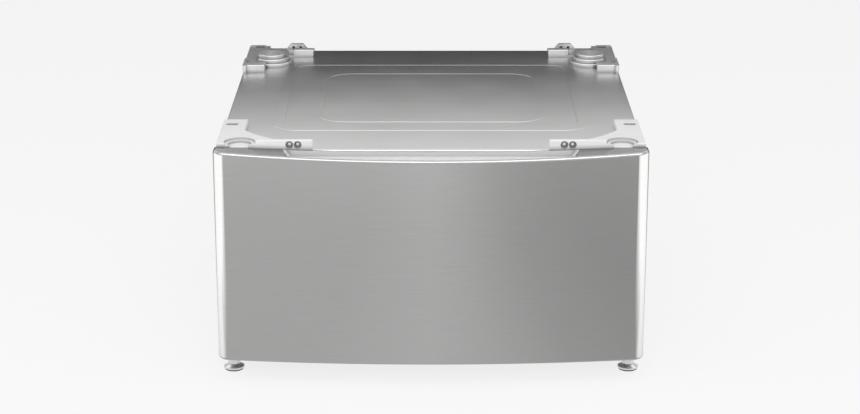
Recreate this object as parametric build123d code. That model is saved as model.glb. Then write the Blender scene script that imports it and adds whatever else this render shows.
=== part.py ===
from build123d import *
import os

# Laundry pedestal: a steel cabinet with one wide drawer, which a front loading washer stands on.
# Millimetres. +X is to the right seen from the front, +Y is to the rear and +Z is up.
# The origin lies on the floor, under the middle of the whole part.

# Cabinet
cabinet_width = 678.0
plate_depth = 672.0
plate_height = 376.0
plate_rim = 16.0
cabinet_bottom = 34.0
sheet = 1.2
bend = 1.0
plate_bend = 3.0
flange = 18.0
foot_flange = 46.0
fit_gap = 0.3

# Pressed beads of the top plate: how far each stays from the plate's edges, and how wide it is
bead_height = 0.3
bead_slope = 0.25
outer_bead_side = 78.0
outer_bead_front = 114.0
outer_bead_rear = 97.0
outer_bead_width = 19.0
inner_bead_side = 151.0
inner_bead_front = 166.0
inner_bead_rear = 174.0
inner_bead_width = 7.0
bead_corner = 46.0

# Rear panel ribs, rails and brackets
rib_length = 540.0
rib_width = 34.0
rib_depth = 4.0
rib_spacing = 100.0
rail_depth = 34.0
rail_height = 30.0
header_depth = 30.0
header_height = 28.0
bracket_sheet = 2.5
bracket_width = 44.0
bracket_depth = 44.0
bracket_wall = 34.0

# Levelling feet
foot_side = 17.0
foot_front = 15.0
foot_rear = 30.0
stem_radius = 5.0
stem_spare = 26.0
stem_tip_radius = 4.0
stem_tip_bottom = 5.0
thread_gap = 0.3
pad_radius = 16.5
pad_bead = 3.0
pad_neck_radius = 8.5
pad_gap = 1.0
sole_radius = 15.0
sole_height = 2.5
nut_width = 17.0
collar_height = 8.0
collar_gap = 8.5
lock_nut_height = 8.0
weld_nut_height = 8.0

# Foot holders: "in" runs from the plate's side edge, "back" and "ahead" from its front or rear rim
holder_height = 14.0
holder_floor = 4.0
front_arm_height = 10.5
rear_arm_height = 8.6
arm_width = 39.0
front_arm_back = 145.0
front_tongue_in = 152.0
front_tongue_start = 62.0
front_tongue_wall = 8.0
front_tongue_height = 16.0
neck_in = 100.0
neck_root_back = 22.0
neck_mid_in = 64.0
neck_mid_back = 49.0
neck_back = 81.0
cup_in = 36.0
cup_back = 12.0
cup_radius = 19.0
cup_step_radius = 25.0
cup_step_floor = 7.6
slot_length = 21.0
slot_width = 12.0
slot_in = 15.5
slot_back = 115.0
fixing_radius = 2.75
fixing_spacing = 13.2
front_fixing_height = 8.2
rear_fixing_height = 7.0
front_fixing_in = 122.0
counterbore_radius = 6.2
counterbore_depth = 5.0
rear_arm_ahead = 172.0
rear_tongue_in = 121.0
rear_tongue_ahead = 55.0
ring_in = 48.0
ring_ahead = 102.0
ring_from = 24.0
ring_tiers = 3
ring_tier_height = 6.6
ring_tier_step = 6.0
ring_bore_radius = 20.0
ring_wall = 4.5
side_block_depth = 22.0
tongue_block_width = 36.0
tongue_block_depth = 16.0
tab_thick = 6.0
tab_skin = 1.5
tab_foot_width = 46.0
tab_top_width = 22.0
rear_fixing_in = 88.5
corner_rim_from = 2.0
corner_rim_to = 30.0
corner_rim_thick = 4.0
corner_rim_height = 10.0
edge_rib_width = 4.0
edge_rib_length = 54.0
post_radius = 4.0
holder_round = 1.2
corner_slot_length = 17.0
corner_slot_width = 7.0
corner_slot_in = 20.0
corner_slot_ahead = 9.0
front_screw_backs = (56.0, 92.0)
holder_screw_in = 27.0

# Screws
screw_radius = 2.0
screw_head_radius = 4.0
screw_head_height = 1.2
screw_clear = 0.3
holder_screw_bite = 6.0
panel_screw_bite = 4.0
rear_screw_margin = 43.0
front_screw_margin = 31.0

# Drawer front
front_overhang = 4.0
front_stand = 34.0
front_bow = 22.0
front_bottom = 33.0
front_rise = 6.0
front_dip = 8.3
front_gap = 2.0
end_radius = 20.0
edge_radius = 4.5
skin = 1.2
inner_panel = 2.5

# Finger pull
pull_half = 228.0
pull_slant = 14.0
pull_ledge = 5.0
pull_drop = 31.0
pull_slope = 20.0
pull_wall = 2.0
pull_lip = edge_radius + pull_wall

# Drawer box
box_length = 560.0
box_floor_gap = 6.8
box_header_gap = 28.0
box_back_drop = 24.0
box_flange = 14.0
floor_bead_inset = 70.0

# Telescopic slides: sizes across the slide run from its cabinet face towards the drawer
slide_height = 190.0
slide_length = 550.0
slide_front = 6.0
slide_thick = 12.7
slide_side_gap = 0.8
outer_half = 22.5
outer_tip_gap = 3.2
middle_tip_gap = 1.0
cage_sheet = 0.8
cage_run = 0.5
cage_length = 150.0
ball_radius = 1.7
ball_run = 0.3
ball_hole_gap = 0.25
ball_count = 6
support_half = 30.0
support_length = 560.0
slide_fixings = (60.0, 270.0, 480.0)
rivet_head_radius = 3.5
rivet_head_height = 1.5

# Bumpers
bumper_radius = 6.0
bumper_margin = 42.0

# Places worked out from the sizes above
overall_depth = plate_depth + front_stand + front_bow
rim_front = front_bow + front_stand - overall_depth / 2
rim_rear = overall_depth / 2
plate_half = cabinet_width / 2
plate_under = plate_height - sheet
wall_out = plate_half - sheet
wall_in = wall_out - sheet
panel_front = rim_front + sheet
panel_rear = rim_rear - sheet
flange_back = panel_front + sheet
rear_face = panel_rear - sheet
bottom_deck = cabinet_bottom + sheet
bracket_deck = bottom_deck + bracket_sheet
front_rear = rim_front - front_gap
front_top = plate_height + front_rise
pull_top = front_top - front_dip
slide_face = wall_out - flange - slide_side_gap
box_side = slide_face - slide_thick
box_rear = front_rear + box_length
slide_start = rim_front + slide_front
front_width = cabinet_width + 2 * front_overhang
header_top = plate_under - sheet
box_bottom = bottom_deck + rail_height + box_floor_gap
box_top = header_top - header_height - box_header_gap
box_back_top = box_top - box_back_drop
collar_top = cabinet_bottom - lock_nut_height - collar_gap
collar_bottom = collar_top - collar_height
pad_top = collar_bottom - pad_gap
stem_top = bracket_deck + weld_nut_height + stem_spare
ends = (-1, 1)


def spread(low, high, margin):
    """Three heights: near each end and halfway."""
    return (low + margin, (low + high) / 2, high - margin)


rim_bottom = plate_height - plate_rim
rear_screw_heights = spread(bottom_deck, rim_bottom, rear_screw_margin)
front_screw_heights = spread(box_bottom, box_top, front_screw_margin)
bumper_heights = (front_bottom + bumper_margin, rim_bottom - bumper_margin)

# Places across the slide, from its cabinet face towards the drawer, and up from its middle
outer_reach = slide_thick - outer_tip_gap
outer_cage_web = sheet + cage_run
outer_cage_reach = outer_reach - cage_run
middle_web = outer_cage_web + cage_sheet + cage_run
middle_reach = slide_thick - sheet - middle_tip_gap
inner_cage_web = middle_web + sheet + cage_run
inner_reach = inner_cage_web + cage_sheet + cage_run
ball_room = 2 * (ball_radius + ball_run)
middle_half = outer_half - sheet - ball_room
inner_half = middle_half - sheet - ball_room
outer_ball_across = (middle_web + outer_reach) / 2
inner_ball_across = (inner_reach + middle_reach) / 2
outer_ball_half = middle_half + ball_room / 2
inner_ball_half = inner_half + ball_room / 2


def block(x0, x1, y0, y1, z0, z1):
    """Box between two corners."""
    middle = Pos((x0 + x1) / 2, (y0 + y1) / 2, (z0 + z1) / 2)
    return middle * Box(x1 - x0, y1 - y0, z1 - z0)


def rod(radius, start, end):
    """Round bar from one point to another."""
    along = Vector(*end) - Vector(*start)
    place = Plane(origin=start, z_dir=along)
    return place * Cylinder(radius, along.length, align=(Align.CENTER, Align.CENTER, Align.MIN))


def both_sides(shape):
    """A right-hand shape and its mirror image on the left."""
    return shape + mirror(shape, about=Plane.YZ)


def save(name, shape):
    """Write one piece, or one group of like pieces, to its own file."""
    export_step(shape, f"parts/{name}.step")


def save_pair(name, shape):
    """Write a right-hand piece and its left-hand mirror image."""
    save(f"{name}_right", shape)
    save(f"{name}_left", mirror(shape, about=Plane.YZ))


def hexagon_nut(x, y, z0, z1, bore):
    """Hexagon with an optional round bore, standing on z0."""
    place = Pos(x, y, z0)
    nut = extrude(place * RegularPolygon(nut_width / 2, 6, major_radius=False), z1 - z0)
    if bore:
        nut -= rod(bore, (x, y, z0), (x, y, z1))
    return nut


# Where the four feet stand: name, x, y
foot_x = plate_half - foot_side
foot_places = {
    "front_left": (-foot_x, rim_front + foot_front),
    "front_right": (foot_x, rim_front + foot_front),
    "rear_left": (-foot_x, rim_rear - foot_rear),
    "rear_right": (foot_x, rim_rear - foot_rear),
}

# Where screws come up through the plate into the right-hand holders
rear_block_middle = rear_arm_ahead - side_block_depth / 2
tongue_block_in = rear_tongue_in - tongue_block_width / 2
tongue_block_middle = rear_tongue_ahead - tongue_block_depth / 2
front_holder_screws = [(plate_half - holder_screw_in, rim_front + back) for back in front_screw_backs]
rear_holder_screws = [
    (plate_half - holder_screw_in, rim_rear - rear_block_middle),
    (plate_half - tongue_block_in, rim_rear - tongue_block_middle),
]


# Cabinet

def bead(half, front, rear, width, deck):
    """Raised line round a rounded rectangle on a sheet whose top is at deck."""
    middle = Pos(0, (front + rear) / 2, deck)
    outside = RectangleRounded(2 * half, rear - front, bead_corner)
    inside = RectangleRounded(2 * (half - width), rear - front - 2 * width, bead_corner - width)
    ridge = extrude(middle * (outside - inside), bead_height)
    return chamfer(ridge.edges().group_by(Axis.Z)[-1], bead_slope)


def top_plate():
    """Lid of the cabinet: a sheet with a turned-down rim and two pressed beads."""
    lid = block(-plate_half, plate_half, rim_front, rim_rear, plate_height - plate_rim, plate_height)
    lid = fillet(lid.edges().group_by(Axis.Z)[-1] + lid.edges().filter_by(Axis.Z), plate_bend)
    lid -= block(-wall_out, wall_out, panel_front, panel_rear, plate_height - plate_rim, plate_under)
    lid += bead(
        plate_half - outer_bead_side, rim_front + outer_bead_front, rim_rear - outer_bead_rear,
        outer_bead_width, plate_height,
    )
    lid += bead(
        plate_half - inner_bead_side, rim_front + inner_bead_front, rim_rear - inner_bead_rear,
        inner_bead_width, plate_height,
    )
    for x, y in front_holder_screws + rear_holder_screws:
        lid -= both_sides(rod(screw_radius + screw_clear, (x, y, plate_under), (x, y, plate_height)))
    return lid


def side_panel():
    """Right-hand side: one sheet with flanges turned in along its four edges."""
    panel = block(wall_in, wall_out, panel_front, panel_rear, cabinet_bottom, plate_under)
    inner = wall_out - flange
    panel += block(inner, wall_out, panel_front, panel_rear, plate_under - sheet, plate_under)
    panel += block(inner, wall_out, panel_front, flange_back, cabinet_bottom, plate_under)
    panel += block(inner, wall_out, rear_face, panel_rear, cabinet_bottom, plate_under)
    panel += block(wall_out - foot_flange, wall_out, panel_front, panel_rear, cabinet_bottom, bottom_deck)
    for name in ("front_right", "rear_right"):
        x, y = foot_places[name]
        panel -= rod(stem_radius + thread_gap, (x, y, cabinet_bottom), (x, y, bottom_deck))
    for height in rear_screw_heights:
        x = wall_out - flange / 2
        panel -= rod(screw_radius + screw_clear, (x, rear_face, height), (x, panel_rear, height))
    return panel


def rear_panel():
    """Back sheet with two pressed ribs, held against the side panels' rear flanges."""
    half = wall_in - fit_gap
    panel = block(-half, half, rear_face - sheet, rear_face, bottom_deck, plate_under - sheet)
    middle = (bottom_deck + header_top) / 2
    for height in (middle - rib_spacing / 2, middle + rib_spacing / 2):
        place = Plane(origin=(0, rear_face, height), x_dir=(1, 0, 0), z_dir=(0, -1, 0))
        panel += extrude(place * SlotOverall(rib_length, rib_width), sheet + rib_depth)
        panel -= extrude(place * SlotOverall(rib_length - 2 * sheet, rib_width - 2 * sheet), rib_depth)
    for height in rear_screw_heights:
        x = wall_out - flange / 2
        hole = rod(screw_radius + screw_clear, (x, rear_face - sheet, height), (x, rear_face, height))
        panel -= both_sides(hole)
    return panel


def rear_panel_screws():
    """Flat-headed screws that hold the rear panel to the side panels."""
    screws = []
    for side in ends:
        for height in rear_screw_heights:
            x = side * (wall_out - flange / 2)
            tip = rear_face - sheet - panel_screw_bite
            seat = (x, panel_rear, height)
            head = rod(screw_head_radius, seat, (x, panel_rear + screw_head_height, height))
            screws.append(head + rod(screw_radius, (x, tip, height), seat))
    return Compound(children=screws)


def channel(y0, y1, z0, z1):
    """Rail across the cabinet, folded to a channel that is open below."""
    half = wall_in - fit_gap
    rail = block(-half, half, y0, y1, z0, z1)
    return rail - block(-half, half, y0 + sheet, y1 - sheet, z0, z1 - sheet)


def foot_bracket(name):
    """Thick corner plate that carries one foot, with a wall against the side panel."""
    x, y = foot_places[name]
    if name.startswith("front"):
        y0, y1 = flange_back, flange_back + bracket_depth
    else:
        y0, y1 = rear_face - sheet - bracket_depth, rear_face - sheet
    plate = block(wall_in - bracket_width, wall_in, y0, y1, bottom_deck, bracket_deck)
    plate += block(wall_in - bracket_sheet, wall_in, y0, y1, bottom_deck, bottom_deck + bracket_wall)
    plate -= rod(stem_radius + thread_gap, (abs(x), y, bottom_deck), (abs(x), y, bracket_deck))
    if x < 0:
        plate = mirror(plate, about=Plane.YZ)
    return plate


def nut_group(z0, z1):
    """One nut round each of the four stems."""
    bore = stem_radius + thread_gap
    return Compound(children=[hexagon_nut(x, y, z0, z1, bore) for x, y in foot_places.values()])


# Foot holders, right-hand side

def cylinder_up(radius, x, y, z0, z1):
    """Upright round bar above the plate, with heights measured from the plate."""
    return rod(radius, (x, y, plate_height + z0), (x, y, plate_height + z1))


def fixing_holes(middle_in, height, y0, y1, radius):
    """Two holes side by side in an upright wall, for the screws into the washer."""
    holes = []
    for side in ends:
        x = plate_half - middle_in + side * fixing_spacing / 2
        z = plate_height + height
        holes.append(rod(radius, (x, y0, z), (x, y1, z)))
    return holes[0] + holes[1]


def front_holder():
    """Moulded corner with a stepped cup that is open to the front, and an upright tongue beside it."""
    def at(inward, back):
        return (plate_half - inward, rim_front + back)

    outline = Polyline(
        at(arm_width, neck_back), at(arm_width, front_arm_back), at(0, front_arm_back), at(0, 0),
        at(neck_in, 0), at(neck_in, neck_root_back),
    )
    neck = ThreePointArc(
        at(neck_in, neck_root_back), at(neck_mid_in, neck_mid_back), at(arm_width, neck_back),
    )
    holder = extrude(Pos(0, 0, plate_height) * make_face([outline, neck]), front_arm_height)
    holder = fillet(holder.edges().group_by(Axis.Z)[-1], holder_round)

    cup_x, cup_y = at(cup_in, cup_back)
    holder -= cylinder_up(cup_radius, cup_x, cup_y, holder_floor, front_arm_height)
    holder -= cylinder_up(cup_step_radius, cup_x, cup_y, cup_step_floor, front_arm_height)

    wall_back = rim_front + front_tongue_wall
    tongue = block(
        plate_half - front_tongue_in, plate_half - front_tongue_start, rim_front, wall_back,
        plate_height, plate_height + front_tongue_height,
    )
    holder += fillet(tongue.edges().group_by(Axis.Z)[-1], holder_round)

    slot_x, slot_y = at(slot_in, slot_back)
    slot = Pos(slot_x, slot_y, plate_height + holder_floor) * SlotOverall(slot_length, slot_width)
    holder -= extrude(slot, front_arm_height)

    recess_back = rim_front + counterbore_depth
    holder -= fixing_holes(front_fixing_in, front_fixing_height, rim_front, wall_back, fixing_radius)
    holder -= fixing_holes(front_fixing_in, front_fixing_height, rim_front, recess_back, counterbore_radius)
    for x, y in front_holder_screws:
        holder -= cylinder_up(screw_radius + screw_clear, x, y, 0, holder_screw_bite)
    return holder


def rear_holder():
    """Moulded corner with a stepped half ring, a side block and a tab along the rear."""
    def raised(in0, in1, ahead0, ahead1, z0, z1):
        return block(
            plate_half - in1, plate_half - in0, rim_rear - ahead1, rim_rear - ahead0,
            plate_height + z0, plate_height + z1,
        )

    ring_x = plate_half - ring_in
    ring_y = rim_rear - ring_ahead
    ring_height = ring_tiers * ring_tier_height
    holder = raised(0, arm_width, 0, rear_arm_ahead, 0, rear_arm_height)
    holder = fillet(holder.edges().group_by(Axis.Z)[-1], holder_round)
    holder += raised(0, rear_tongue_in, 0, rear_tongue_ahead, 0, holder_floor)
    for tier in range(ring_tiers):
        radius = ring_bore_radius + ring_wall + (ring_tiers - 1 - tier) * ring_tier_step
        low = tier * ring_tier_height
        drum = cylinder_up(radius, ring_x, ring_y, low, low + ring_tier_height)
        drum = fillet(drum.edges().group_by(Axis.Z)[-1], holder_round)
        holder += drum & raised(ring_from, rear_tongue_in, 0, rear_arm_ahead, low, low + ring_tier_height)
    holder -= cylinder_up(ring_bore_radius, ring_x, ring_y, holder_floor, ring_height)

    side_from = rear_arm_ahead - side_block_depth
    side_block = raised(0, arm_width, side_from, rear_arm_ahead, 0, holder_height)
    tongue_block = raised(
        rear_tongue_in - tongue_block_width, rear_tongue_in,
        rear_tongue_ahead - tongue_block_depth, rear_tongue_ahead, 0, holder_height,
    )
    for piece in (side_block, tongue_block):
        holder += fillet(piece.edges().group_by(Axis.Z)[-1], holder_round)

    tab_x = plate_half - rear_fixing_in
    tab_outline = Polyline(
        (tab_x - tab_foot_width / 2, plate_height), (tab_x + tab_foot_width / 2, plate_height),
        (tab_x + tab_top_width / 2, plate_height + holder_height),
        (tab_x - tab_top_width / 2, plate_height + holder_height), close=True,
    )
    tab_plane = Plane(origin=(0, rim_rear, 0), x_dir=(1, 0, 0), z_dir=(0, -1, 0))
    holder += extrude(tab_plane * make_face(tab_outline), tab_thick)

    holder += raised(corner_rim_from, corner_rim_to, 0, corner_rim_thick, 0, corner_rim_height)
    rib_from = rear_arm_ahead - edge_rib_length
    holder += raised(0, edge_rib_width, rib_from, rear_arm_ahead, 0, holder_height)
    post_y = rim_rear - rear_arm_ahead
    holder += cylinder_up(post_radius, plate_half - post_radius, post_y, 0, holder_height)

    slot_left = corner_slot_in - corner_slot_length / 2
    slot_near = corner_slot_ahead - corner_slot_width / 2
    holder -= raised(
        slot_left, slot_left + corner_slot_length, slot_near, slot_near + corner_slot_width,
        holder_floor, holder_height,
    )
    tab_front = rim_rear - tab_thick
    holder -= fixing_holes(rear_fixing_in, rear_fixing_height, tab_front, rim_rear - tab_skin, fixing_radius)
    for x, y in rear_holder_screws:
        holder -= cylinder_up(screw_radius + screw_clear, x, y, 0, holder_screw_bite)
    return holder


def holder_screws():
    """Screws that come up through the plate into the four foot holders."""
    screws = []
    for side in ends:
        for x, y in front_holder_screws + rear_holder_screws:
            top = plate_height + holder_screw_bite - screw_clear
            low = plate_under - screw_head_height
            head = rod(screw_head_radius, (side * x, y, low), (side * x, y, plate_under))
            screws.append(head + rod(screw_radius, (side * x, y, plate_under), (side * x, y, top)))
    return Compound(children=screws)


# Slides, right-hand side: "across" runs from the cabinet face towards the drawer

def slide_bar(across0, across1, half0, half1, start, length):
    """Upper and lower strip of a slide member, between two heights from the slide's middle."""
    x0 = slide_face - across1
    x1 = slide_face - across0
    upper = block(x0, x1, start, start + length, slide_height + half0, slide_height + half1)
    lower = block(x0, x1, start, start + length, slide_height - half1, slide_height - half0)
    return upper + lower


def slide_web(across0, across1, half, start, length):
    """Upright web of a slide member."""
    return block(
        slide_face - across1, slide_face - across0, start, start + length,
        slide_height - half, slide_height + half,
    )


def slide_outer():
    """Cabinet member of the slide, riveted to its support."""
    member = slide_web(0, sheet, outer_half, slide_start, slide_length)
    member += slide_bar(0, outer_reach, outer_half - sheet, outer_half, slide_start, slide_length)
    for along in slide_fixings:
        y = slide_start + along
        start = (slide_face - sheet, y, slide_height)
        member -= rod(screw_radius + screw_clear, start, (slide_face, y, slide_height))
    return member


def slide_middle():
    """Middle member, which runs half as far as the drawer."""
    member = slide_web(middle_web, middle_web + sheet, middle_half, slide_start, slide_length)
    return member + slide_bar(
        middle_web, middle_reach, middle_half - sheet, middle_half, slide_start, slide_length,
    )


def slide_inner():
    """Drawer member, riveted to the side of the drawer box."""
    member = slide_web(slide_thick - sheet, slide_thick, inner_half, slide_start, slide_length)
    member += slide_bar(
        inner_reach, slide_thick, inner_half - sheet, inner_half, slide_start, slide_length,
    )
    for along in slide_fixings:
        y = slide_start + along
        start = (box_side, y, slide_height)
        member -= rod(screw_radius + screw_clear, start, (box_side + sheet, y, slide_height))
    return member


def slide_cage(web, reach, ball_across, ball_half):
    """Ball cage: a folded strip with two rows of balls in its holes."""
    start = slide_start + (slide_length - cage_length) / 2
    half = ball_half + cage_sheet / 2
    cage = slide_web(web, web + cage_sheet, half, start, cage_length)
    cage += slide_bar(web, reach, half - cage_sheet, half, start, cage_length)
    step = cage_length / ball_count
    x = slide_face - ball_across
    balls = []
    for row in ends:
        z = slide_height + row * ball_half
        for index in range(ball_count):
            y = start + step * (index + 0.5)
            hole = ball_radius + ball_hole_gap
            cage -= rod(hole, (x, y, z - cage_sheet), (x, y, z + cage_sheet))
            balls.append(Pos(x, y, z) * Sphere(ball_radius))
    return Compound(children=[cage] + balls)


def slide_support():
    """Channel that stands the slide off the side panel, clear of the front flange."""
    start = flange_back
    rail = block(
        slide_face, wall_in, start, start + support_length,
        slide_height - support_half, slide_height + support_half,
    )
    rail -= block(
        slide_face + sheet, wall_in, start, start + support_length,
        slide_height - support_half + sheet, slide_height + support_half - sheet,
    )
    for along in slide_fixings:
        y = slide_start + along
        end = (slide_face + sheet, y, slide_height)
        rail -= rod(screw_radius + screw_clear, (slide_face, y, slide_height), end)
    return rail


def slide_rivets(head_from, head_to, shank_to):
    """Rivets along both slides, given by their distances across the slide."""
    rivets = []
    for side in ends:
        for along in slide_fixings:
            y = slide_start + along
            points = [(side * (slide_face - a), y, slide_height) for a in (head_from, head_to, shank_to)]
            head = rod(rivet_head_radius, points[0], points[1])
            rivets.append(head + rod(screw_radius, points[1], points[2]))
    return Compound(children=rivets)


# Drawer

def front_plan(inset, rear):
    """Outline of the drawer front from above, drawn in by inset."""
    half = front_width / 2 - inset
    end_y = rim_front - front_stand + inset
    bow_y = end_y - front_bow
    sides = Polyline((-half, end_y), (-half, rear), (half, rear), (half, end_y))
    face = make_face([sides, ThreePointArc((half, end_y), (0, bow_y), (-half, end_y))])
    corners = face.vertices().filter_by_position(Axis.Y, end_y - fit_gap, end_y + fit_gap)
    return fillet(corners, end_radius - inset)


def front_elevation(inset):
    """Outline of the drawer front from the front: its top edge dips in the middle."""
    half = front_width / 2 - inset
    low = front_bottom + inset
    high = front_top - inset
    sides = Polyline((-half, high), (-half, low), (half, low), (half, high))
    return make_face([sides, ThreePointArc((half, high), (0, high - front_dip), (-half, high))])


def front_solid(inset, rear):
    """Solid drawer front drawn in by inset, with its front edges rounded."""
    low = front_bottom - edge_radius
    high = front_top + edge_radius
    reach = front_stand + front_bow + edge_radius + rear - rim_front
    plan = extrude(Pos(0, 0, low) * front_plan(inset, rear), high - low)
    looking_front = Plane(origin=(0, rear, 0), x_dir=(1, 0, 0), z_dir=(0, -1, 0))
    solid = plan & extrude(looking_front * front_elevation(inset), reach)
    rounded = [
        edge for edge in solid.edges()
        if edge.center().Y < rear - fit_gap and abs(edge.tangent_at(0.5).Z) < 0.5
    ]
    return fillet(rounded, edge_radius - inset)


def pull_prism(grow, inset, low):
    """Space of the finger pull, from low up, grown sideways by grow and kept inset from the face."""
    rear_y = front_rear - pull_ledge + grow
    front_y = rim_front - front_stand - front_bow
    wide = pull_half + grow
    narrow = wide - pull_slant
    plan = make_face(Polyline(
        (-wide, rear_y), (wide, rear_y), (narrow, front_y), (-narrow, front_y), close=True,
    ))
    plan = plan & front_plan(inset, front_rear)
    return extrude(Pos(0, 0, low) * plan, front_top - low)


def pull_wedge(grow):
    """Space in front of the sloped rear wall of the finger pull, grown by grow."""
    rear_y = front_rear - pull_ledge + grow
    low = pull_top - pull_drop - grow
    front_y = rim_front - front_stand - front_bow
    profile = make_face(Polyline(
        (rear_y, front_top), (rear_y, pull_top - pull_lip), (rear_y - pull_slope, low),
        (front_y, low), (front_y, front_top), close=True,
    ))
    across = Plane(origin=(-front_width / 2, 0, 0), x_dir=(0, 1, 0), z_dir=(1, 0, 0))
    return extrude(across * profile, front_width)


def drawer_front_skin():
    """Bowed stainless tray, open at the rear, with an opening for the finger pull in its top."""
    tray = front_solid(0, front_rear) - front_solid(skin, front_rear + fit_gap)
    return tray - pull_prism(pull_wall + fit_gap, pull_lip - pull_wall - fit_gap, pull_top - pull_drop)


def finger_pull():
    """Moulded trough behind the top edge of the drawer front."""
    low = pull_top - pull_drop - pull_wall
    outside = pull_prism(pull_wall, pull_lip - pull_wall, low) & pull_wedge(pull_wall)
    inside = pull_prism(0, pull_lip, low) & pull_wedge(0)
    trough = outside - inside
    reach = front_stand + front_bow
    looking_front = Plane(origin=(0, rim_front, 0), x_dir=(1, 0, 0), z_dir=(0, -1, 0))
    return trough & extrude(looking_front * front_elevation(0), reach)


def drawer_inner_panel():
    """Flat panel that closes the rear of the drawer front and carries the drawer box."""
    looking_front = Plane(origin=(0, front_rear, 0), x_dir=(1, 0, 0), z_dir=(0, -1, 0))
    panel = extrude(looking_front * front_elevation(skin + fit_gap), inner_panel)
    panel = fillet(panel.edges().filter_by(Axis.Y), edge_radius)
    for x, z in front_screw_places():
        panel -= rod(screw_radius + screw_clear, (x, front_rear - inner_panel, z), (x, front_rear, z))
    return panel


def front_screw_places():
    """Where screws hold the drawer box to the inner panel."""
    x = box_side - box_flange / 2
    return [(side * x, z) for side in ends for z in front_screw_heights]


def front_panel_screws():
    """Screws from inside the drawer box into the drawer front."""
    screws = []
    for x, z in front_screw_places():
        seat = front_rear + sheet
        tip = front_rear - inner_panel - panel_screw_bite
        head = rod(screw_head_radius, (x, seat, z), (x, seat + screw_head_height, z))
        screws.append(head + rod(screw_radius, (x, tip, z), (x, seat, z)))
    return Compound(children=screws)


def drawer_side():
    """Right-hand side of the drawer box, flanged at the front, top and bottom."""
    inner = box_side - box_flange
    side = block(box_side - sheet, box_side, front_rear, box_rear, box_bottom, box_top)
    side += block(inner, box_side, front_rear, front_rear + sheet, box_bottom, box_top)
    side += block(inner, box_side, front_rear, box_rear, box_bottom, box_bottom + sheet)
    side += block(inner, box_side, front_rear, box_rear, box_top - sheet, box_top)
    for z in front_screw_heights:
        x = box_side - box_flange / 2
        side -= rod(screw_radius + screw_clear, (x, front_rear, z), (x, front_rear + sheet, z))
    for along in slide_fixings:
        y = slide_start + along
        start = (box_side - sheet, y, slide_height)
        side -= rod(screw_radius + screw_clear, start, (box_side, y, slide_height))
    return side


def drawer_floor():
    """Floor of the drawer box, laid on the side flanges, with one pressed bead."""
    half = box_side - sheet - fit_gap
    deck = box_bottom + 2 * sheet
    floor = block(-half, half, front_rear + sheet, box_rear - sheet, box_bottom + sheet, deck)
    return floor + bead(
        half - floor_bead_inset, front_rear + floor_bead_inset, box_rear - floor_bead_inset,
        inner_bead_width, deck,
    )


def drawer_back():
    """Back of the drawer box, stood on the side flanges behind the floor."""
    half = box_side - sheet - fit_gap
    back = block(-half, half, box_rear - sheet, box_rear, box_bottom + sheet, box_back_top)
    return back + block(
        -half, half, box_rear - box_flange, box_rear, box_back_top - sheet, box_back_top,
    )


def drawer_bumpers():
    """Soft discs on the front flanges that the drawer front closes against."""
    bumpers = []
    for side in ends:
        for z in bumper_heights:
            x = side * (wall_out - flange / 2)
            bumpers.append(rod(bumper_radius, (x, front_rear + fit_gap, z), (x, panel_front, z)))
    return Compound(children=bumpers)


# Levelling feet

def foot_sole(x, y):
    """Rubber disc under the pad."""
    return rod(sole_radius, (x, y, 0), (x, y, sole_height))


def foot_pad(x, y):
    """Turned pad with a socket for the stem's tip."""
    outline = Polyline(
        (0, sole_height), (pad_radius, sole_height), (pad_radius, sole_height + pad_bead),
        (pad_neck_radius, pad_top), (stem_tip_radius + thread_gap, pad_top),
        (stem_tip_radius + thread_gap, stem_tip_bottom - thread_gap),
        (0, stem_tip_bottom - thread_gap), close=True,
    )
    pad = revolve(Plane.XZ * make_face(outline), Axis.Z)
    return Pos(x, y, 0) * pad


def foot_stem(x, y):
    """Threaded stem with its hexagon, turning in the pad."""
    stem = rod(stem_radius, (x, y, collar_bottom), (x, y, stem_top))
    stem = chamfer(stem.edges().group_by(Axis.Z)[-1], bend)
    stem += rod(stem_tip_radius, (x, y, stem_tip_bottom), (x, y, collar_bottom))
    return stem + hexagon_nut(x, y, collar_bottom, collar_top, 0)


os.makedirs("parts", exist_ok=True)

save("top_plate", top_plate())
save_pair("side_panel", side_panel())
save("rear_panel", rear_panel())
save("rear_panel_screws", rear_panel_screws())
front_rail_y = flange_back + bracket_depth
rear_rail_y = rear_face - sheet - bracket_depth
rail_top = bottom_deck + rail_height
save("base_rail_front", channel(front_rail_y, front_rail_y + rail_depth, bottom_deck, rail_top))
save("base_rail_rear", channel(rear_rail_y - rail_depth, rear_rail_y, bottom_deck, rail_top))
save("front_header", channel(flange_back, flange_back + header_depth, header_top - header_height, header_top))
for place in foot_places:
    save(f"foot_bracket_{place}", foot_bracket(place))
save("foot_weld_nuts", nut_group(bracket_deck, bracket_deck + weld_nut_height))
save("foot_lock_nuts", nut_group(cabinet_bottom - lock_nut_height, cabinet_bottom))

save_pair("foot_holder_front", front_holder())
save_pair("foot_holder_rear", rear_holder())
save("holder_screws", holder_screws())

save_pair("slide_support", slide_support())
save_pair("slide_outer", slide_outer())
save_pair("slide_middle", slide_middle())
save_pair("slide_inner", slide_inner())
save_pair("slide_cage_outer", slide_cage(
    outer_cage_web, outer_cage_reach, outer_ball_across, outer_ball_half,
))
save_pair("slide_cage_inner", slide_cage(
    inner_cage_web, middle_reach, inner_ball_across, inner_ball_half,
))
save("slide_outer_rivets", slide_rivets(-sheet - rivet_head_height, -sheet, sheet))
save("slide_inner_rivets", slide_rivets(
    slide_thick - sheet - rivet_head_height, slide_thick - sheet, slide_thick + sheet,
))

save("drawer_front_skin", drawer_front_skin())
save("drawer_inner_panel", drawer_inner_panel())
save("finger_pull", finger_pull())
save_pair("drawer_side", drawer_side())
save("drawer_floor", drawer_floor())
save("drawer_back", drawer_back())
save("front_panel_screws", front_panel_screws())
save("drawer_bumpers", drawer_bumpers())

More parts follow.
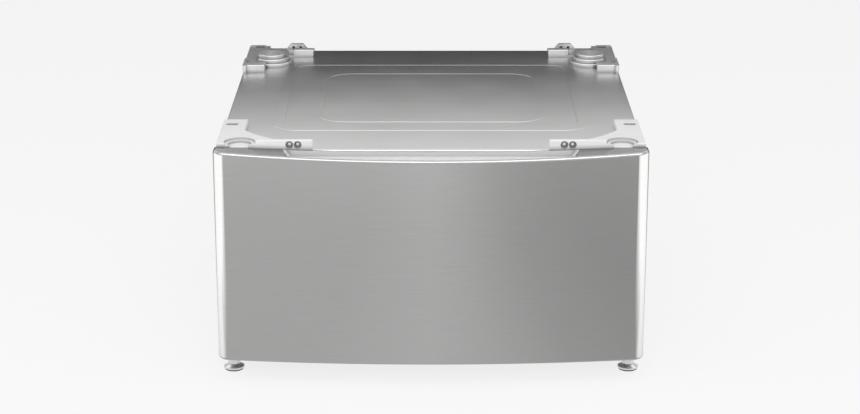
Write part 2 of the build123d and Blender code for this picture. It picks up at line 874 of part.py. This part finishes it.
for place, (foot_at_x, foot_at_y) in foot_places.items():
    save(f"foot_sole_{place}", foot_sole(foot_at_x, foot_at_y))
    save(f"foot_pad_{place}", foot_pad(foot_at_x, foot_at_y))
    save(f"foot_stem_{place}", foot_stem(foot_at_x, foot_at_y))
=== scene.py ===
import math

import bmesh
import bpy
from mathutils import Matrix, Vector


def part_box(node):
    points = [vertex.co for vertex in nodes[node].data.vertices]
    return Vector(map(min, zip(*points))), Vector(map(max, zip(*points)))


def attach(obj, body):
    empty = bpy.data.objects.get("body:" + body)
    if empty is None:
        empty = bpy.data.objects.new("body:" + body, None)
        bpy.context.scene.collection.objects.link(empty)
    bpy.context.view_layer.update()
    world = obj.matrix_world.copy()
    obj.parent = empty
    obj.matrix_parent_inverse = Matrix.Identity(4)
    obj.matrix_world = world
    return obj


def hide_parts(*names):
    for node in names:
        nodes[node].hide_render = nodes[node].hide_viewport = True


# Look of the laundry pedestal. Metres, in the frame of the CAD model: the front faces -Y.

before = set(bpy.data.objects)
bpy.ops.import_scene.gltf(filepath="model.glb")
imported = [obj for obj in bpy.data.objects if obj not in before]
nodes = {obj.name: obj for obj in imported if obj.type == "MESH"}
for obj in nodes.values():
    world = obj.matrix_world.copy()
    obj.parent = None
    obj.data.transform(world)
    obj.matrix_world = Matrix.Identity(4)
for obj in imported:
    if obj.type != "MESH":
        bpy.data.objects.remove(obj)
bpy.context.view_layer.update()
plate_low, plate_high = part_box("top_plate")
front_low, front_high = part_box("drawer_front_skin")

# Camera, fitted to the corners of the plate and the drawer front in the 860 by 414 photograph
image_width = 860
focal_pixels = 2135
sensor_width = 36.0
camera_side = -0.0016
camera_ahead = 3.237
camera_height = 1.314
camera_pitch = math.radians(17.69)

# Backdrop and floor
white = (1.0, 1.0, 1.0, 1.0)
background = 0.93
ambient = 0.55
floor_half = 9.0
floor_glow = 0.82
glow_level = 0.97

# Soft boxes: place, target, width and height, radiance
lamps = {
    "overhead": ((0.0, -0.8, 2.3), (0.0, 0.0, 0.2), (3.0, 2.0), 0.8),
    "left": ((-2.4, -1.8, 1.3), (0.0, -0.3, 0.2), (1.6, 1.6), 0.8),
    "right": ((2.4, -1.8, 1.3), (0.0, -0.3, 0.2), (1.6, 1.6), 0.5),
    "front": ((0.0, -4.6, 2.0), (0.0, -0.3, 0.3), (3.6, 2.2), 3.0),
}

# Card behind the plate. Its stops: height above the plate, brightness
back_card_behind = 0.15
back_card_height = 1.50
back_card_half = 2.5
back_card_stops = (
    (0.0, 0.06), (0.044, 0.045), (0.067, 0.03), (0.118, 0.03), (0.145, 0.055),
    (0.176, 0.15), (0.209, 0.38), (0.235, 0.71), (0.310, 1.42),
)

# Cards beside the drawer front, longer at the top. Their stops: share of the height, brightness
side_card_foot_off = 0.05
side_card_foot_ahead = 0.06
side_card_top_off = 0.20
side_card_top_ahead = 0.62
side_card_back = 0.16
side_card_height = 0.42
side_card_stops = ((0.0, 1.9), (0.4, 2.4), (1.0, 2.4))
side_card_fade = 0.3

# Card overhead
top_card_height = 1.9
top_card_half = 1.4
top_card_ahead = 1.8
top_card_level = 3.0

# Cards on the floor, a near and a far one. Their stops: place from left to right, brightness
floor_card_split = 1.05
floor_card_reach = 2.5
floor_card_far_gain = 1.15
floor_card_lift = 0.002
floor_card_stops = (
    (-1.60, 0.87), (-0.20, 0.87), (-0.12, 0.905), (-0.05, 0.93), (0.0, 0.95),
    (0.10, 0.87), (0.25, 0.70), (0.45, 0.605), (1.60, 0.60),
)

# Materials: range and stretch of the noise, size of each pattern, coat of the paint, painted shade in
# creases
noise_low = 0.3
noise_high = 0.7
stretch = 0.012
even = (1.0, 1.0, 1.0)
across_front = (stretch, stretch, 1.0)
across_plate = (stretch, 1.0, stretch)
along_slide = (1.0, stretch, 1.0)
brush_turn = 0.25
metal_cloud = 0.11
mould_cloud = 0.045
mould_grain = 0.0011
paint_cloud = 0.16
paint_peel = 0.0026
paint_coat = 0.25
paint_coat_rough = 0.2
# Painted shade: the colour darkens in corners within this reach
painted_shade_reach = 0.008
painted_shade_samples = 8

# All added pieces: the angle from which an edge is sharp, and the sides of a round
sharp_angle = math.radians(35)
round_sides = 32

# Levelling feet
stem_radius = 0.005
tip_radius = 0.004
thread_pitch = 0.0015
thread_depth = 0.0008
thread_steps = 6
stem_tip_length = 0.0045
nut_sides = 6
nut_height = 0.008
nut_chamfer = 0.0008

# Fixing holes of the holders, with heights above the flat of the plate, on which the holders lie
plate_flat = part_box("foot_holder_front_left")[0].z
socket_inward = 0.122
socket_height = 0.0082
socket_spacing = 0.0132
socket_radius = 0.0061
socket_rim = 0.0006
socket_bore = 0.0030
socket_deep = 0.0050
socket_sunk = 0.0006
socket_base = 0.0010
tab_thick = 0.006
cup_inward = 0.0885
cup_height = 0.007
cup_radius = 0.0027
cup_deep = 0.0044
cup_wall = 0.0004

# Slots of the holders
slot_steps = 6
slot_floor = 0.0041
slot_clear = 0.0001
slot_wall = 0.0005
slot_corner = 0.0006
front_slot_inward = 0.0155
front_slot_back = 0.115
front_slot_size = (0.021, 0.012)
front_slot_top = 0.0105
rear_slot_inward = 0.020
rear_slot_ahead = 0.009
rear_slot_size = (0.017, 0.007)
rear_slot_top = 0.0086

# Lips of the finger pull
lip_width = 0.0040
lip_thick = 0.0005
lip_sunk = 0.0003
lip_short = 0.0020
rim_reach = 0.0150
rim_drop = 0.0010
rim_digits = 4

# Panel screws. The dome's points: share of the head's height, share of its radius
screw_radius = 0.002
screw_sides = 28
screw_seat = 0.0012
screw_head_radius = 0.004
screw_head_height = 0.0018
screw_cone_height = 0.25 * screw_head_height
screw_dome = ((0.0, 1.0), (0.35, 1.0), (0.70, 0.86), (0.92, 0.58), (1.0, 0.25))
recess_reach = 0.0020
recess_width = 0.0007
recess_depth = 0.0013
recess_foot_share = 0.45
recess_top = 1.2 * screw_head_height


# Helpers for materials

def new_material(name):
    """Material with its node tree and its shader."""
    material = bpy.data.materials.new(name)
    material.use_nodes = True
    tree = material.node_tree
    return material, tree, tree.nodes["Principled BSDF"]


def grey(value, warmth=0.0):
    """Opaque grey of the given level, a little warmer where warmth is above 0."""
    return (value * (1.0 + warmth), value, value * (1.0 - warmth), 1.0)


def place_on_piece(tree, scale):
    """Point on the piece, in its own frame, stretched by scale."""
    coordinates = tree.nodes.new("ShaderNodeTexCoord")
    mapping = tree.nodes.new("ShaderNodeMapping")
    mapping.inputs["Scale"].default_value = scale
    tree.links.new(coordinates.outputs["Object"], mapping.inputs["Vector"])
    return mapping.outputs["Vector"]


def noise(tree, scale, size, detail=4.0, roughness=0.55):
    """Noise whose pattern is size across, stretched by scale."""
    texture = tree.nodes.new("ShaderNodeTexNoise")
    texture.inputs["Scale"].default_value = 1.0 / size
    texture.inputs["Detail"].default_value = detail
    texture.inputs["Roughness"].default_value = roughness
    tree.links.new(place_on_piece(tree, scale), texture.inputs["Vector"])
    return texture.outputs["Fac"]


def between(tree, value, low, high):
    """Number that goes from low to high over the range of the noise."""
    spread = tree.nodes.new("ShaderNodeMapRange")
    spread.inputs["From Min"].default_value = noise_low
    spread.inputs["From Max"].default_value = noise_high
    spread.inputs["To Min"].default_value = low
    spread.inputs["To Max"].default_value = high
    tree.links.new(value, spread.inputs["Value"])
    return spread.outputs["Result"]


def shades(tree, value, dark, light, warmth=0.0):
    """Grey that goes from dark to light over the range of the noise."""
    ramp = tree.nodes.new("ShaderNodeValToRGB")
    first, last = ramp.color_ramp.elements
    first.position = noise_low
    last.position = noise_high
    first.color = grey(dark, warmth)
    last.color = grey(light, warmth)
    tree.links.new(value, ramp.inputs["Fac"])
    return ramp.outputs["Color"]


def painted_crease_shade(tree, colour):
    """Colour with painted shade: it darkens in tight corners, as ambient occlusion finds them."""
    corner = tree.nodes.new("ShaderNodeAmbientOcclusion")
    corner.samples = painted_shade_samples
    corner.inputs["Distance"].default_value = painted_shade_reach
    tree.links.new(colour, corner.inputs["Color"])
    return corner.outputs["Color"]


def bump(tree, shader, value, depth):
    """Bump of the given depth in metres."""
    node = tree.nodes.new("ShaderNodeBump")
    node.inputs["Distance"].default_value = depth
    tree.links.new(value, node.inputs["Height"])
    tree.links.new(node.outputs["Normal"], shader.inputs["Normal"])


def metal(name, levels, rough, grain_scale, grain_size, depth, warmth=0.0, turned=0.0, edge=1.0):
    """Metal with a grain: grey and roughness within the two given values each."""
    material, tree, shader = new_material(name)
    shader.inputs["Metallic"].default_value = 1.0
    shader.inputs["Specular Tint"].default_value = grey(edge)
    shader.inputs["Anisotropic"].default_value = turned
    shader.inputs["Anisotropic Rotation"].default_value = brush_turn
    grain = noise(tree, grain_scale, grain_size, detail=6.0)
    cloud = noise(tree, even, metal_cloud)
    tree.links.new(shades(tree, grain, *levels, warmth), shader.inputs["Base Color"])
    tree.links.new(between(tree, cloud, *rough), shader.inputs["Roughness"])
    bump(tree, shader, grain, depth)
    return material


def moulded(name, levels, rough, depth, silver=0.0):
    """Moulded plastic or rubber with a fine grain and faint clouds, silvery by the given share, with
    painted shade in its corners.
    """
    material, tree, shader = new_material(name)
    shader.inputs["Metallic"].default_value = silver
    cloud = noise(tree, even, mould_cloud)
    grain = noise(tree, even, mould_grain, detail=2.0)
    tree.links.new(painted_crease_shade(tree, shades(tree, cloud, *levels)), shader.inputs["Base Color"])
    tree.links.new(between(tree, grain, *rough), shader.inputs["Roughness"])
    bump(tree, shader, grain, depth)
    return material


def painted(name, levels, rough, depth):
    """Sprayed paint: faint clouds in the colour and a fine orange peel."""
    material, tree, shader = new_material(name)
    shader.inputs["Coat Weight"].default_value = paint_coat
    shader.inputs["Coat Roughness"].default_value = paint_coat_rough
    cloud = noise(tree, even, paint_cloud)
    peel = noise(tree, even, paint_peel, detail=1.5)
    tree.links.new(shades(tree, cloud, *levels), shader.inputs["Base Color"])
    tree.links.new(between(tree, peel, *rough), shader.inputs["Roughness"])
    bump(tree, shader, peel, depth)
    return material


# Materials of the slots and of the liners, which are painted shade: range of grey, range of roughness,
# grain, depth of the bump

materials = {
    "plate_steel": metal(
        "plate_steel", (0.57, 0.61), (0.31, 0.34), across_plate, 0.0016, 0.000002, warmth=0.006),
    "cabinet_paint": painted("cabinet_paint", (0.44, 0.47), (0.34, 0.44), 0.00003),
    "galvanised": metal("galvanised", (0.50, 0.66), (0.34, 0.50), even, 0.018, 0.00002),
    "zinc": metal("zinc", (0.60, 0.74), (0.20, 0.34), even, 0.004, 0.00001),
    "screw_steel": metal("screw_steel", (0.52, 0.66), (0.24, 0.38), even, 0.003, 0.00001),
    # holder_grey is a darker, silvery copy of holder_pale for the same plastic: painted shade on the rear
    # holders, where the light is dimmer
    "holder_pale": moulded("holder_pale", (0.80, 0.84), (0.28, 0.36), 0.00001),
    "holder_grey": moulded("holder_grey", (0.68, 0.72), (0.30, 0.37), 0.00001, silver=0.75),
    "slide_steel": metal("slide_steel", (0.54, 0.68), (0.24, 0.36), along_slide, 0.0014, 0.00001),
    "cage_steel": metal("cage_steel", (0.60, 0.70), (0.20, 0.30), even, 0.003, 0.00001),
    "stainless": metal(
        "stainless", (0.395, 0.425), (0.15, 0.17), across_front, 0.0007, 0.000003,
        warmth=0.008, turned=0.8, edge=0.65),
    "pull_plastic": moulded("pull_plastic", (0.64, 0.68), (0.20, 0.30), 0.00001),
    "drawer_paint": painted("drawer_paint", (0.66, 0.70), (0.36, 0.46), 0.00003),
    "rubber": moulded("rubber", (0.025, 0.04), (0.55, 0.75), 0.00006),
}
# Greys of the liners that are painted shade in the holes and slots of the holders
painted_shade_grey = moulded("painted_shade_grey", (0.28, 0.34), (0.45, 0.60), 0.00002)
slot_shade_grey = moulded("slot_shade_grey", (0.56, 0.62), (0.40, 0.55), 0.00002)


# Helpers for pieces

def new_object(name, data):
    """Object in the scene with the given mesh, light or camera."""
    added = bpy.data.objects.new(name, data)
    bpy.context.scene.collection.objects.link(added)
    return added


def new_shape(name, build):
    """Object with the mesh that build makes, in no body yet."""
    mesh = bpy.data.meshes.new(name)
    shape = bmesh.new()
    build(shape)
    bmesh.ops.recalc_face_normals(shape, faces=shape.faces)
    shape.to_mesh(mesh)
    shape.free()
    return new_object(name, mesh)


def new_piece(name, build, body, slot, *replaced, look=None):
    """Piece that rides on body and stands for the replaced nodes, with look or else the finish of slot."""
    piece = new_shape(name, build)
    mesh = piece.data
    mesh.materials.append(look or materials[slot])
    mesh.shade_smooth()
    mesh.set_sharp_from_angle(angle=sharp_angle)
    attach(piece, body)
    if replaced:
        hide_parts(*replaced)


def add_placed(shape, add, place):
    """Let add put its points into shape, and move them to place."""
    start = len(shape.verts)
    add(shape)
    shape.verts.ensure_lookup_table()
    bmesh.ops.transform(shape, matrix=place, verts=shape.verts[start:])


def stacked_rings(shape, rings, closed=False):
    """Skin over rings of points, capped at both ends, or back to the first ring where closed."""
    layers = [[shape.verts.new(point) for point in ring] for ring in rings]
    pairs = list(zip(layers, layers[1:]))
    if closed:
        pairs.append((layers[-1], layers[0]))
    for lower, upper in pairs:
        for i in range(len(lower)):
            j = (i + 1) % len(lower)
            shape.faces.new((lower[i], lower[j], upper[j], upper[i]))
    if not closed:
        shape.faces.new(layers[0])
        shape.faces.new(layers[-1])


def circle(x, y, z, radius, count):
    """Points of a level circle."""
    angles = [2 * math.pi * i / count for i in range(count)]
    return [(x + radius * math.cos(a), y + radius * math.sin(a), z) for a in angles]


# Levelling feet

def thread_ring(x, y, z, end):
    """One level section through a right-hand thread, which runs out towards its end."""
    ring = []
    for i in range(round_sides):
        angle = 2 * math.pi * i / round_sides
        phase = (z / thread_pitch - angle / (2 * math.pi)) % 1.0
        depth = thread_depth * abs(2 * phase - 1)
        radius = min(stem_radius - depth, stem_radius - thread_depth + (end - z))
        ring.append((x + radius * math.cos(angle), y + radius * math.sin(angle), z))
    return ring


def make_stem(place):
    """Threaded stem of a levelling foot, with its hexagon and the tip that turns in the pad."""
    node = f"foot_stem_{place}"
    low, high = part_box(node)
    x, y = (low.x + high.x) / 2, (low.y + high.y) / 2
    nut_low = low.z + stem_tip_length
    nut_high = nut_low + nut_height
    tip_levels = (low.z, nut_low + nut_chamfer)
    nut_corner = (high.x - low.x) / 2
    nut_levels = (
        (nut_low, nut_corner - nut_chamfer), (nut_low + nut_chamfer / 2, nut_corner),
        (nut_high - nut_chamfer / 2, nut_corner), (nut_high, nut_corner - nut_chamfer),
    )
    thread_low = nut_high - nut_chamfer
    steps = round((high.z - nut_high) / thread_pitch * thread_steps)
    heights = [thread_low + (high.z - thread_low) * i / steps for i in range(steps + 1)]

    def build(shape):
        stacked_rings(shape, [circle(x, y, z, tip_radius, round_sides) for z in tip_levels])
        stacked_rings(shape, [circle(x, y, z, radius, nut_sides) for z, radius in nut_levels])
        stacked_rings(shape, [thread_ring(x, y, z, high.z) for z in heights])

    new_piece(f"threaded_stem_{place}", build, node, "zinc", node)


# Painted shade in the holes and slots of the holders: dark liners where there is only shade

def make_shade_liners(name, x, y, height, profile, closed):
    """Two turned dark liners side by side about x, painted shade in the holes, from a profile of depths
    behind y and radii.
    """
    to_front = Matrix.Rotation(math.pi / 2, 4, "X")

    def add_liner(shape):
        rings = [circle(0.0, 0.0, -deep, radius, round_sides) for deep, radius in profile]
        stacked_rings(shape, rings, closed)

    def build(shape):
        for way in (-1, 1):
            middle = (x + way * socket_spacing / 2, y, plate_flat + height)
            add_placed(shape, add_liner, Matrix.Translation(middle) @ to_front)

    new_piece(name, build, "cabinet", "rubber", look=painted_shade_grey)


def make_front_shade_rings(side, name):
    """Grey rings in the two counterbores of a front holder: painted shade in them."""
    low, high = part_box(f"foot_holder_front_{name}")
    x = side * (max(side * low.x, side * high.x) - socket_inward)
    bottom = socket_deep - socket_base
    profile = (
        (socket_deep, socket_radius), (socket_sunk, socket_radius),
        (socket_sunk, socket_radius - socket_rim), (bottom, socket_bore + socket_rim),
        (bottom, socket_bore), (socket_deep, socket_bore),
    )
    make_shade_liners(f"shade_rings_{name}", x, low.y, socket_height, profile, True)


def make_rear_shade_cups(side, name):
    """Grey cups in the two blind holes of a rear holder's tab: painted shade in them."""
    low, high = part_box(f"foot_holder_rear_{name}")
    x = side * (max(side * low.x, side * high.x) - cup_inward)
    profile = (
        (cup_deep, cup_radius), (socket_sunk, cup_radius),
        (socket_sunk, cup_radius - cup_wall), (cup_deep - cup_wall, cup_radius - cup_wall),
    )
    make_shade_liners(f"shade_cups_{name}", x, high.y - tab_thick, cup_height, profile, False)


def slot_outline(x, y, length, width, corner):
    """Points of a slot with round corners, seen from above."""
    points = []
    for quarter, (way_x, way_y) in enumerate(((1, 1), (-1, 1), (-1, -1), (1, -1))):
        corner_x = x + way_x * (length / 2 - corner)
        corner_y = y + way_y * (width / 2 - corner)
        for step in range(slot_steps + 1):
            angle = math.pi / 2 * (quarter + step / slot_steps)
            points.append((corner_x + corner * math.cos(angle), corner_y + corner * math.sin(angle)))
    return points


def make_slot_shade(name, x, y, size, corner, top, look):
    """Thin open tray that lines a slot in the top of a holder: painted shade in the slot."""
    length, width = size
    levels = (
        (slot_floor, slot_clear), (top - slot_clear, slot_clear),
        (top - slot_clear, slot_wall), (slot_floor + slot_wall, slot_wall),
    )

    def build(shape):
        rings = []
        for height, inset in levels:
            outline = slot_outline(x, y, length - 2 * inset, width - 2 * inset, corner - inset)
            rings.append([(*point, plate_flat + height) for point in outline])
        stacked_rings(shape, rings)

    new_piece(name, build, "cabinet", "rubber", look=look)


def make_front_slot_shade(side, name):
    """Liner of the round-ended slot of a front holder, painted shade in it."""
    x, y = side * (plate_high.x - front_slot_inward), plate_low.y + front_slot_back
    corner = front_slot_size[1] / 2
    make_slot_shade(f"slot_shade_front_{name}", x, y, front_slot_size, corner, front_slot_top, slot_shade_grey)


def make_rear_slot_shade(side, name):
    """Liner of the corner slot of a rear holder, dark rubber as painted shade in it."""
    x, y = side * (plate_high.x - rear_slot_inward), plate_high.y - rear_slot_ahead
    look = materials["rubber"]
    make_slot_shade(f"slot_shade_rear_{name}", x, y, rear_slot_size, slot_corner, rear_slot_top, look)


# Finger pull

def pull_end(side):
    """Rear and front corner of the finger pull's rim at one end of its opening."""
    pull = nodes["finger_pull"]
    points = [pull.matrix_world @ vertex.co for vertex in pull.data.vertices]
    rear = max(points, key=lambda point: (round(side * point.x, rim_digits), point.z))
    end = [point for point in points if side * (rear.x - point.x) < rim_reach]
    rim = [point for point in end if rear.z - point.z < rim_drop]
    return rear, min(rim, key=lambda point: point.y)


def make_pull_lip(side, name):
    """Thin lip of the finger pull on the flange beside one end of its opening."""
    rear, front = pull_end(side)
    along = (front - rear).normalized()
    outward = side * lip_width * Vector((-along.y, along.x, 0.0))
    front = front - lip_short * along
    corners = (rear, front, front + outward, rear + outward)

    def build(shape):
        heights = (-lip_sunk, lip_thick)
        stacked_rings(shape, [[point + Vector((0.0, 0.0, up)) for point in corners] for up in heights])

    new_piece(f"pull_lip_{name}", build, "drawer", "pull_plastic")


# Panel screws

def make_screw_blank(shape):
    """Domed screw head without its recess, its rim on the level z = 0 and its shank below."""
    profile = [(-screw_head_height, screw_radius), (-screw_cone_height, screw_radius)]
    profile += [(screw_head_height * up, screw_head_radius * out) for up, out in screw_dome]
    stacked_rings(shape, [circle(0.0, 0.0, z, radius, screw_sides) for z, radius in profile])


def make_recess(shape):
    """Cross that is cut out of a screw head, narrower at its bottom."""
    rings = []
    for z, share in ((screw_head_height - recess_depth, recess_foot_share), (recess_top, 1.0)):
        reach, width = recess_reach * share, recess_width * share
        rings.append([(-reach, -width, z), (reach, -width, z), (reach, width, z), (-reach, width, z)])
    for turn in (0.0, math.pi / 2):
        add_placed(shape, lambda cross: stacked_rings(cross, rings), Matrix.Rotation(turn, 4, "Z"))


def cut_screw():
    """Mesh of one screw with its recess cut."""
    head = new_shape("screw_blank", make_screw_blank)
    cross = new_shape("screw_cross", make_recess)
    cut = head.modifiers.new("recess", "BOOLEAN")
    cut.operation = "DIFFERENCE"
    cut.solver = "EXACT"
    cut.use_self = True
    cut.object = cross
    bpy.context.view_layer.update()
    mesh = bpy.data.meshes.new_from_object(head.evaluated_get(bpy.context.evaluated_depsgraph_get()))
    bpy.data.objects.remove(head)
    bpy.data.objects.remove(cross)
    return mesh


def make_panel_screws(name, node, body, screw):
    """Two columns of three screws whose heads face the rear, each recess at an angle of its own."""
    low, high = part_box(node)
    columns = (low.x + screw_head_radius, high.x - screw_head_radius)
    rows = (low.z + screw_head_radius, (low.z + high.z) / 2, high.z - screw_head_radius)
    to_rear = Matrix.Rotation(-math.pi / 2, 4, "X")

    def build(shape):
        for x in columns:
            for row, z in enumerate(rows):
                turned = to_rear @ Matrix.Rotation(row + x, 4, "Z")
                place = Matrix.Translation((x, high.y - screw_seat, z)) @ turned
                add_placed(shape, lambda screws: screws.from_mesh(screw), place)

    new_piece(name, build, body, "screw_steel", node)


# Backdrop and floor

def new_quad(name, corners):
    """Object with one four-sided face."""
    mesh = bpy.data.meshes.new(name)
    mesh.from_pydata(corners, [], [(0, 1, 2, 3)])
    return new_object(name, mesh)


def blend(tree, share, first, second):
    """Shader that goes from first to second by the given share."""
    mix = tree.nodes.new("ShaderNodeMixShader")
    tree.links.new(share, mix.inputs["Fac"])
    tree.links.new(first, mix.inputs[1])
    tree.links.new(second, mix.inputs[2])
    return mix.outputs["Shader"]


def path_mix(tree, plain, shown):
    """Shader that is shown to the camera and to reflections, and plain to everything else."""
    path = tree.nodes.new("ShaderNodeLightPath")
    seen = path.outputs["Is Camera Ray"]
    for ray in ("Is Glossy Ray", "Is Transmission Ray"):
        both = tree.nodes.new("ShaderNodeMath")
        both.operation = "MAXIMUM"
        tree.links.new(seen, both.inputs[0])
        tree.links.new(path.outputs[ray], both.inputs[1])
        seen = both.outputs["Value"]
    return blend(tree, seen, plain, shown)


def make_world():
    """Pale backdrop for the eye and for reflections, softer light for everything else."""
    world = bpy.data.worlds.new("studio")
    world.use_nodes = True
    bpy.context.scene.world = world
    tree = world.node_tree
    plain = tree.nodes["Background"]
    plain.inputs["Color"].default_value = white
    plain.inputs["Strength"].default_value = ambient
    shown = tree.nodes.new("ShaderNodeBackground")
    shown.inputs["Color"].default_value = white
    shown.inputs["Strength"].default_value = background
    mixed = path_mix(tree, plain.outputs["Background"], shown.outputs["Background"])
    tree.links.new(mixed, tree.nodes["World Output"].inputs["Surface"])


def make_floor():
    """Pale floor that glows a little, so that it meets the backdrop, and keeps a soft shadow."""
    corners = [(-1, -1), (1, -1), (1, 1), (-1, 1)]
    floor = new_quad("floor", [(x * floor_half, y * floor_half, 0.0) for x, y in corners])
    material, tree, shader = new_material("floor")
    tree.nodes.remove(shader)
    plain = tree.nodes.new("ShaderNodeBsdfDiffuse")
    plain.inputs["Color"].default_value = grey(background)
    glow = tree.nodes.new("ShaderNodeEmission")
    glow.inputs["Color"].default_value = grey(glow_level)
    shown = tree.nodes.new("ShaderNodeMixShader")
    shown.inputs["Fac"].default_value = floor_glow
    tree.links.new(plain.outputs["BSDF"], shown.inputs[1])
    tree.links.new(glow.outputs["Emission"], shown.inputs[2])
    mixed = path_mix(tree, plain.outputs["BSDF"], shown.outputs["Shader"])
    tree.links.new(mixed, tree.nodes["Material Output"].inputs["Surface"])
    floor.data.materials.append(material)


# Reflectors, which only reflections show

def glowing(tree, place, stops):
    """Glow whose brightness follows stops along place."""
    curve = tree.nodes.new("ShaderNodeValToRGB")
    points = curve.color_ramp.elements
    while len(points) < len(stops):
        points.new(0.5)
    for point, (position, level) in zip(points, stops):
        point.position = position
        point.color = grey(level)
    glow = tree.nodes.new("ShaderNodeEmission")
    tree.links.new(place, curve.inputs["Fac"])
    tree.links.new(curve.outputs["Color"], glow.inputs["Color"])
    return glow.outputs["Emission"]


def faded(tree, glow, along, fade):
    """Glow that comes up from clear over the first share of the way along."""
    rise = tree.nodes.new("ShaderNodeMapRange")
    rise.inputs["From Max"].default_value = fade
    tree.links.new(along, rise.inputs["Value"])
    clear = tree.nodes.new("ShaderNodeBsdfTransparent")
    return blend(tree, rise.outputs["Result"], clear.outputs["BSDF"], glow)


def make_reflector(name, corners, stops, fade=0.0):
    """Glowing card. Its brightness follows stops from the edge of its first two corners to the far edge.

    It fades in from the side of its first corner, over the share of its length that fade gives.
    """
    card = new_quad(name, corners)
    layer = card.data.uv_layers.new(name="across")
    for loop, place in zip(layer.data, ((0.0, 0.0), (0.0, 1.0), (1.0, 1.0), (1.0, 0.0))):
        loop.uv = place
    material, tree, shader = new_material(name)
    tree.nodes.remove(shader)
    across = tree.nodes.new("ShaderNodeUVMap")
    split = tree.nodes.new("ShaderNodeSeparateXYZ")
    tree.links.new(across.outputs["UV"], split.inputs["Vector"])
    surface = glowing(tree, split.outputs["X"], stops)
    if fade:
        surface = faded(tree, surface, split.outputs["Y"], fade)
    tree.links.new(surface, tree.nodes["Material Output"].inputs["Surface"])
    card.data.materials.append(material)
    card.visible_camera = False
    card.visible_diffuse = False
    card.visible_shadow = False
    card.visible_transmission = False


def make_back_card():
    """Card behind the plate, dark below and pale above, which the plate shows as dark at its rear."""
    y = plate_high.y + back_card_behind
    left, right = -back_card_half, back_card_half
    low, high = plate_high.z, plate_high.z + back_card_height
    corners = [(left, y, low), (right, y, low), (right, y, high), (left, y, high)]
    stops = [(up / back_card_height, level) for up, level in back_card_stops]
    make_reflector("back_card", corners, stops)


def make_side_card(name, side):
    """Bright card along one side, leaning outwards, which the rounded end of the drawer front shows."""
    foot, top = side * (front_high.x + side_card_foot_off), side * (front_high.x + side_card_top_off)
    foot_near, top_near = front_low.y - side_card_foot_ahead, front_low.y - side_card_top_ahead
    far = front_low.y + side_card_back
    low, high = floor_card_lift, side_card_height
    corners = [(foot, foot_near, low), (foot, far, low), (top, far, high), (top, top_near, high)]
    make_reflector(name, corners, side_card_stops, side_card_fade)


def make_top_card():
    """Bright card overhead, in front of the plate, which the rounded edges show."""
    left, right = -top_card_half, top_card_half
    near, far = front_low.y - top_card_ahead, front_low.y
    z = top_card_height
    corners = [(left, near, z), (right, near, z), (right, far, z), (left, far, z)]
    make_reflector("top_card", corners, [(0.0, top_card_level), (1.0, top_card_level)])


def make_floor_card(name, start, end, gain):
    """Card on the floor, palest in the middle and darker to the right, which the drawer front shows."""
    far, near = front_low.y - start, front_low.y - end
    left, right = floor_card_stops[0][0], floor_card_stops[-1][0]
    z = floor_card_lift
    corners = [(left, far, z), (left, near, z), (right, near, z), (right, far, z)]
    stops = [((x - left) / (right - left), gain * level) for x, level in floor_card_stops]
    make_reflector(name, corners, stops)


# Lamps and camera

def make_lamp(name, place, target, size, radiance):
    """Soft box at place, turned to target. Reflections leave it out and show the cards instead."""
    width, height = size
    data = bpy.data.lights.new(name, "AREA")
    data.shape = "RECTANGLE"
    data.size = width
    data.size_y = height
    data.energy = radiance * math.pi * width * height
    lamp = new_object(name, data)
    lamp.location = place
    lamp.visible_camera = False
    lamp.visible_glossy = False
    lamp.rotation_euler = (Vector(target) - Vector(place)).to_track_quat("-Z", "Y").to_euler()


def make_camera():
    """Camera at the photograph's viewing angle."""
    data = bpy.data.cameras.new("camera")
    data.sensor_fit = "HORIZONTAL"
    data.sensor_width = sensor_width
    data.lens = focal_pixels * sensor_width / image_width
    camera = new_object("camera", data)
    camera.location = (camera_side, plate_low.y - camera_ahead, camera_height)
    camera.rotation_euler = (math.pi / 2 - camera_pitch, 0.0, 0.0)
    bpy.context.scene.camera = camera


# Scene

for node in nodes.values():
    slot = node.material_slots[0].material.name.split(".")[0]
    node.material_slots[0].material = materials[slot]

for place in ("front_left", "front_right", "rear_left", "rear_right"):
    make_stem(place)
for side, name in ((-1, "left"), (1, "right")):
    make_front_shade_rings(side, name)
    make_rear_shade_cups(side, name)
    make_front_slot_shade(side, name)
    make_rear_slot_shade(side, name)
    make_pull_lip(side, name)
screw = cut_screw()
make_panel_screws("cross_screws_rear", "rear_panel_screws", "cabinet", screw)
make_panel_screws("cross_screws_front", "front_panel_screws", "drawer", screw)

make_world()
make_floor()
make_camera()
make_back_card()
make_floor_card("floor_card", 0.0, floor_card_split, 1.0)
make_floor_card("far_floor_card", floor_card_split, floor_card_reach, floor_card_far_gain)
make_top_card()
make_side_card("left_card", -1)
make_side_card("right_card", 1)
for name, (place, target, size, radiance) in lamps.items():
    make_lamp(name, place, target, size, radiance)
bpy.context.scene.view_settings.view_transform = "Standard"
